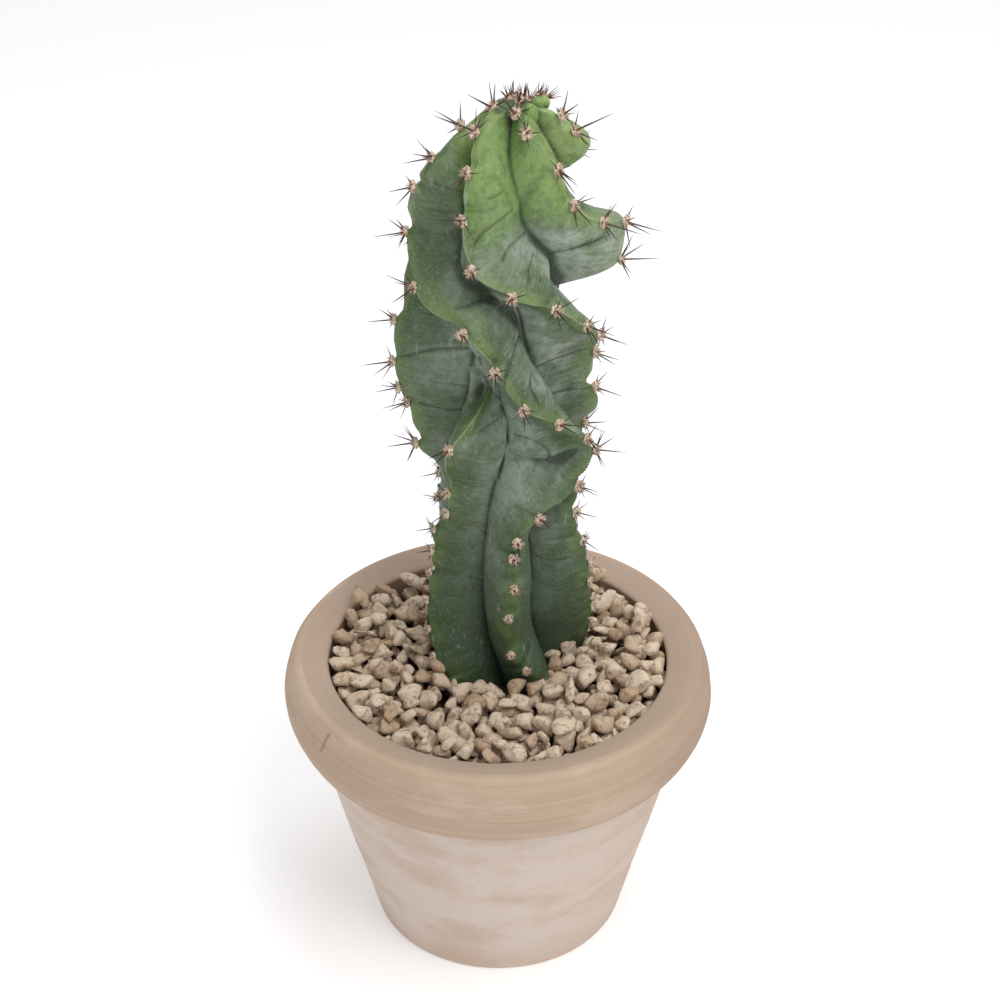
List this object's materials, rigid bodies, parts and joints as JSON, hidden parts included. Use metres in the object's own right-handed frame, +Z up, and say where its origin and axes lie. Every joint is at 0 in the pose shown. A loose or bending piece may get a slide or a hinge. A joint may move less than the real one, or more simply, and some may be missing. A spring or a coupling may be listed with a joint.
{
  "type": "potted spiral column cactus",
  "caption": "Twisted, ribbed green column cactus with spined areoles, rooted in a round terracotta pot with a rolled collar rim and a pumice top dressing.",
  "frame": {"origin": "centre of the pot's flat foot, on the surface that it stands on", "axes": "+Z up along the pot's axis; -Y is the front, with the hook of the stem towards +X"},
  "size_m": [0.24, 0.24, 0.5134],
  "materials": {
    "pot_clay": "unglazed, matt, pale beige with lime bloom",
    "shard_clay": "broken unglazed clay",
    "soil": "dark crumbly potting mix",
    "pumice": "matt, pitted, warm beige",
    "skin": "waxy green skin with a bluish bloom in the grooves",
    "felt_and_spines": "cream felt with dark brown spines"
  },
  "bodies": {
    "root": {"drainage_crock": "shard_clay", "gravel_bed": "pumice", "pot": "pot_clay", "potting_soil": "soil", "spines_01": "felt_and_spines", "spines_02": "felt_and_spines", "spines_03": "felt_and_spines", "spines_04": "felt_and_spines", "spines_05": "felt_and_spines", "spines_06": "felt_and_spines", "spines_07": "felt_and_spines", "spines_08": "felt_and_spines", "spines_09": "felt_and_spines", "spines_10": "felt_and_spines", "spines_11": "felt_and_spines", "spines_12": "felt_and_spines", "spines_13": "felt_and_spines", "spines_14": "felt_and_spines", "spines_15": "felt_and_spines", "spines_16": "felt_and_spines", "spines_17": "felt_and_spines", "spines_18": "felt_and_spines", "spines_19": "felt_and_spines", "spines_20": "felt_and_spines", "spines_21": "felt_and_spines", "spines_22": "felt_and_spines", "spines_23": "felt_and_spines", "spines_24": "felt_and_spines", "spines_25": "felt_and_spines", "spines_26": "felt_and_spines", "spines_27": "felt_and_spines", "spines_28": "felt_and_spines", "spines_29": "felt_and_spines", "spines_30": "felt_and_spines", "spines_31": "felt_and_spines", "spines_32": "felt_and_spines", "spines_33": "felt_and_spines", "spines_34": "felt_and_spines", "spines_35": "felt_and_spines", "spines_36": "felt_and_spines", "spines_37": "felt_and_spines", "spines_38": "felt_and_spines", "stem": "skin", "stone_01": "pumice", "stone_02": "pumice", "stone_03": "pumice", "stone_04": "pumice", "stone_05": "pumice", "stone_06": "pumice", "stone_07": "pumice", "stone_08": "pumice", "stone_09": "pumice", "stone_10": "pumice", "stone_11": "pumice", "stone_12": "pumice", "stone_13": "pumice", "stone_14": "pumice", "stone_15": "pumice"}
  },
  "joints": []
}
